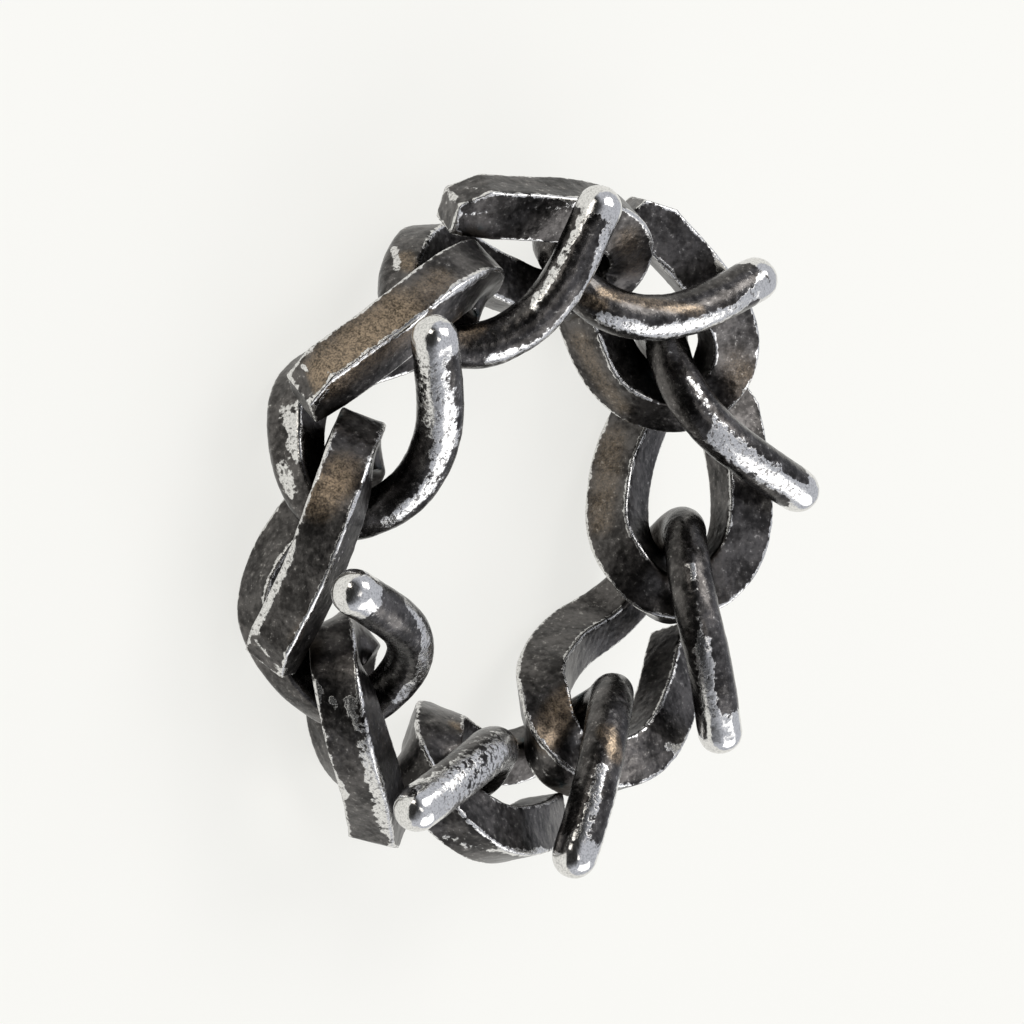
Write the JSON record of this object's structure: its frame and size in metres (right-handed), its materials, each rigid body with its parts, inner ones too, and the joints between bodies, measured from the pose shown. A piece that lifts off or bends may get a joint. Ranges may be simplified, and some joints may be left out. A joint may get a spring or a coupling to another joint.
{
  "type": "chain link ring",
  "caption": "Finger ring made as a closed chain of open curb links, each with a square bar cut off at one end and a round wire end that stands out to a domed tip.",
  "frame": {"origin": "on the finger's axis, at the lowest point of the ring as it lies on its side", "axes": "+Z along the finger's axis, towards the side that the wire tips stand out on; +X through the tip of link_1, and the links follow counterclockwise seen from +Z"},
  "size_m": [0.0322, 0.0326, 0.0107],
  "materials": {
    "blackened_silver": "blackened silver, rubbed bright on the edges and wire tips"
  },
  "bodies": {
    "root": {"link_1": "blackened_silver", "link_2": "blackened_silver", "link_3": "blackened_silver", "link_4": "blackened_silver", "link_5": "blackened_silver", "link_6": "blackened_silver", "link_7": "blackened_silver", "link_8": "blackened_silver"}
  },
  "joints": []
}
